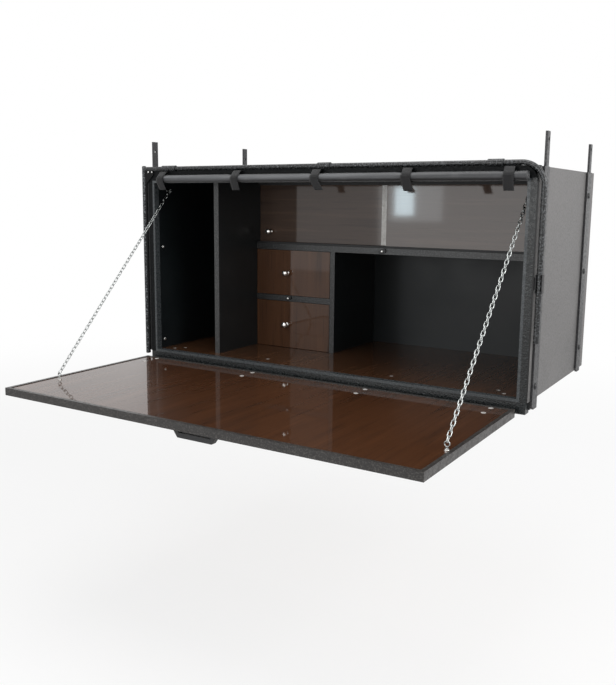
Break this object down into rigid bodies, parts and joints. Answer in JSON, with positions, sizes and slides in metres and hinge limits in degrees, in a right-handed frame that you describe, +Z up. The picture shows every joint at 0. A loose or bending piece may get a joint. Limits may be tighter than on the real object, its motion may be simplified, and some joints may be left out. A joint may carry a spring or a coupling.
{
  "type": "hanging truck kitchen box",
  "caption": "Hanging kitchen box with a drop-down door on chains, drawers, shelf, sliding panels and a folded awning tube frame with rolled sheet.",
  "frame": {"origin": "middle of the two bolt holes in the left pair of hanging bars, half way through the bars' thickness", "axes": "+X from the left side of the box to the right, along the front; +Y from the open front into the box; +Z up"},
  "size_m": [1.2488, 1.0919, 0.722],
  "materials": {
    "hammered_black": "black hammered paint on steel",
    "door_edging": "dark grey hammered paint",
    "lip_grey": "light grey painted steel lip",
    "pebble_grey": "grey pebbled covering sheet",
    "inner_slate": "dark blue-grey faced board",
    "edge_grey": "shelf and rail with dark grey hammered edge",
    "brown_gloss": "glossy dark brown wood laminate",
    "panel_brown": "glossy brown sliding panel",
    "plain_wood": "plain board",
    "black_plastic": "black moulded plastic",
    "zinc_steel": "bright zinc-plated steel",
    "polished_knob": "polished metal",
    "satin_strip": "satin grey metal strip",
    "vinyl_sheet": "dark grey coated awning cloth",
    "webbing": "black webbing"
  },
  "bodies": {
    "box": {"frame_bottom": "hammered_black", "frame_top": "hammered_black", "frame_left": "hammered_black", "frame_right": "hammered_black", "opening_lip": "lip_grey", "side_skin_left": "pebble_grey", "side_skin_right": "pebble_grey", "top_skin": "pebble_grey", "back_skin": "pebble_grey", "side_board_left": "inner_slate", "side_board_right": "inner_slate", "top_board": "inner_slate", "back_board": "inner_slate", "floor_board": "plain_wood", "floor_laminate": "brown_gloss", "left_divider": "inner_slate", "shelf": "edge_grey", "drawer_post": "inner_slate", "drawer_rail": "edge_grey", "panel_tracks": "black_plastic", "button_screws": "zinc_steel", "hinge_leaves": "hammered_black", "hinge_pins": "zinc_steel", "wall_eyes": "zinc_steel", "chain_left": "zinc_steel", "chain_right": "zinc_steel", "hangers_front": "hammered_black", "hangers_rear": "hammered_black", "hanger_bolts": "hammered_black", "floor_screws": "zinc_steel", "awning_barrels": "hammered_black", "awning_clip": "black_plastic", "canvas_roll": "vinyl_sheet", "strap_loops": "webbing", "strap_tails": "webbing"},
    "door": {"door_board": "plain_wood", "door_laminate": "brown_gloss", "door_skin": "pebble_grey", "door_edging": "door_edging", "hinge_straps": "hammered_black", "hinge_bolts": "zinc_steel", "door_eyes": "zinc_steel", "door_eye_nuts": "zinc_steel", "door_handle": "black_plastic"},
    "drawer_upper": {"drawer_front_upper": "brown_gloss", "drawer_tray_upper": "plain_wood", "drawer_knob_upper": "polished_knob"},
    "drawer_lower": {"drawer_front_lower": "brown_gloss", "drawer_tray_lower": "plain_wood", "drawer_knob_lower": "polished_knob"},
    "panel_left": {"sliding_panel_left": "panel_brown", "panel_strip": "satin_strip", "panel_knob": "polished_knob"},
    "panel_right": {"sliding_panel_right": "panel_brown"},
    "rail_catch": {"rail_button": "black_plastic"},
    "shelf_catch": {"shelf_button": "black_plastic"},
    "awning": {"awning_rail": "hammered_black", "awning_leg": "hammered_black", "awning_caps": "black_plastic", "gusset_screws": "zinc_steel"}
  },
  "joints": [
    {"name": "door_hinge", "type": "hinge", "parent": "box", "child": "door", "pos_m": [0.595, -0.28425, -0.6425], "axis": [-1, 0, 0], "range_deg": [0, 90], "deforming": ["chain_left", "chain_right", "strap_tails"]},
    {"name": "drawer_upper_slide", "type": "slide", "parent": "box", "child": "drawer_upper", "axis": [0, -1, 0], "range_m": [0, 0.215]},
    {"name": "drawer_lower_slide", "type": "slide", "parent": "box", "child": "drawer_lower", "axis": [0, -1, 0], "range_m": [0, 0.215]},
    {"name": "panel_left_slide", "type": "slide", "parent": "box", "child": "panel_left", "axis": [1, 0, 0], "range_m": [0, 0.195]},
    {"name": "panel_right_slide", "type": "slide", "parent": "box", "child": "panel_right", "axis": [-1, 0, 0], "range_m": [0, 0.195]},
    {"name": "rail_button_turn", "type": "hinge", "parent": "box", "child": "rail_catch", "pos_m": [0.359, -0.02275, -0.454], "axis": [0, 1, 0], "range_deg": [-70, 0]},
    {"name": "shelf_button_turn", "type": "hinge", "parent": "box", "child": "shelf_catch", "pos_m": [0.689, -0.02275, -0.291], "axis": [0, 1, 0], "range_deg": [-70, 0]},
    {"name": "awning_hinge", "type": "hinge", "parent": "box", "child": "awning", "pos_m": [0.607, -0.27475, -0.0534], "axis": [-1, 0, 0], "range_deg": [0, 90]}
  ]
}
